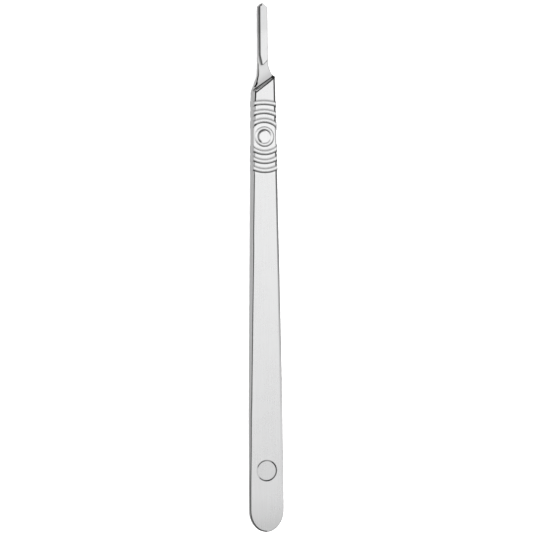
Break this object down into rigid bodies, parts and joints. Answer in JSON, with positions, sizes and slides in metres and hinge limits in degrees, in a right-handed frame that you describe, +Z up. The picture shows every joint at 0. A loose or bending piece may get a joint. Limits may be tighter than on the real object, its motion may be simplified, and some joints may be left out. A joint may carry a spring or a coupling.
{
  "type": "scalpel handle",
  "caption": "Long flat one-piece steel scalpel handle with a ringed and ribbed grip, a sloping shoulder and an undercut rail that takes a slide-on blade.",
  "frame": {"origin": "middle of the bounding box's bottom, on the surface the handle lies on", "axes": "+Y along the handle towards the blade end, -Y the rounded butt, +Z up out of the front face that carries the blade rail, +X to the right when the blade end points away; the handle lies as it rests, tipped 0.66 degrees about X"},
  "size_m": [0.0142, 0.212, 0.0052],
  "materials": {
    "satin_steel": "satin stainless steel, fine lengthwise brushing on the faces, slightly brighter on worn edges"
  },
  "bodies": {
    "root": {"handle": "satin_steel"}
  },
  "joints": []
}
